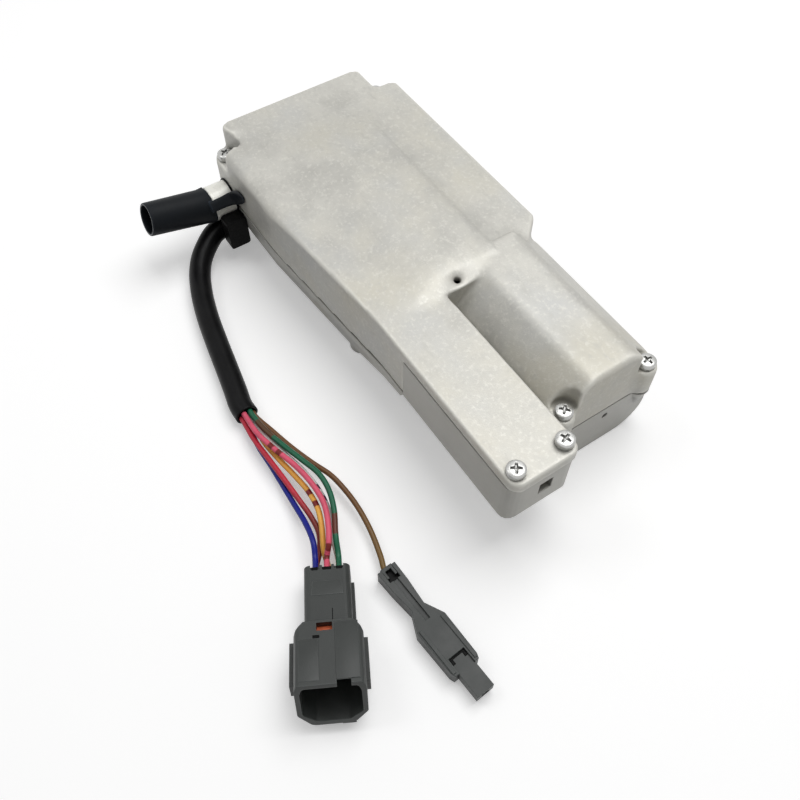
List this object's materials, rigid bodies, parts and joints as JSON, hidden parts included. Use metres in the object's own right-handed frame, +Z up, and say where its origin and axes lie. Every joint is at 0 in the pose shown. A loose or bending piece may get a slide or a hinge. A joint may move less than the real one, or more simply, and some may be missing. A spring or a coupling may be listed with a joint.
{
  "type": "throttle motor",
  "caption": "Cast housing with a motor dome and a flat electronics lid, a worm-driven cable quadrant inside, a booted cable outlet and a wiring harness ending in plugs.",
  "frame": {"origin": "Centre of the four tapped holes, on the plane that the casting stands on", "axes": "+X to the electronics lid, +Y to the motor side, +Z up out of the lid"},
  "size_m": [0.2759, 0.1909, 0.0576],
  "materials": {
    "cast_cover": "satin",
    "cast_body": "satin",
    "zinc": "satin",
    "motor_steel": "satin",
    "brush_card": "matte",
    "ferrite": "matte",
    "bronze": "satin",
    "steel": "satin",
    "copper": "satin",
    "spider": "matte",
    "brass": "satin",
    "black_plastic": "matte",
    "board": "gloss",
    "can_metal": "satin",
    "orange_plastic": "satin",
    "zinc_stub": "satin",
    "boot_rubber": "satin",
    "sheath": "satin",
    "blue": "satin",
    "red": "satin",
    "yellow": "satin",
    "pink": "satin",
    "green": "satin",
    "white": "satin",
    "brown": "satin",
    "plug_grey": "satin",
    "tin": "satin",
    "orange_rubber": "matte"
  },
  "bodies": {
    "housing": {"top_cover": "cast_cover", "lower_housing": "cast_body", "cover_screws": "zinc", "spring_washers": "zinc", "motor_can": "motor_steel", "motor_end_cap": "brush_card", "motor_magnets": "ferrite", "motor_brushes": "ferrite", "motor_bushes": "bronze", "worm_bushes": "bronze", "quadrant_lower_bush": "bronze", "quadrant_upper_bush": "bronze", "bearing_bridge": "steel", "bridge_screws": "zinc", "position_sensor": "black_plastic", "circuit_board": "board", "board_screws": "zinc", "board_relay": "black_plastic", "board_capacitors": "can_metal", "board_header": "orange_plastic", "outlet_stub": "zinc_stub", "outlet_boot": "boot_rubber", "harness_grommet": "boot_rubber", "harness_sheath": "sheath", "lead_blue": "blue", "lead_red": "red", "lead_yellow": "yellow", "lead_pink": "pink", "lead_green": "green", "lead_white": "white", "lead_brown": "brown", "plug_housing": "plug_grey", "plug_body": "plug_grey", "plug_retainer": "orange_plastic", "plug_pins": "tin", "plug_seals": "orange_rubber", "tab_holder": "plug_grey", "tab_nose": "plug_grey", "tab_terminal": "tin"},
    "worm_drive": {"worm": "steel", "coupling_worm_hub": "steel", "coupling_spider": "spider", "coupling_motor_hub": "steel", "motor_shaft": "steel", "armature_core": "steel", "armature_windings": "copper", "commutator": "copper"},
    "output": {"drive_quadrant": "brass", "quadrant_shaft": "steel", "quadrant_pin": "steel"}
  },
  "joints": [
    {"name": "worm_spin", "type": "hinge", "parent": "housing", "child": "worm_drive", "pos_m": [-0.022, 0.021, 0.026], "axis": [-1, 0, 0], "range_deg": [0, 2800]},
    {"name": "quadrant_turn", "type": "hinge", "parent": "housing", "child": "output", "pos_m": [-0.022, -0.012, 0.026], "axis": [0, 0, -1], "range_deg": [0, 70]}
  ],
  "couplings": [
    {"joint": "quadrant_turn", "follows": "worm_spin", "ratio": 0.025}
  ]
}
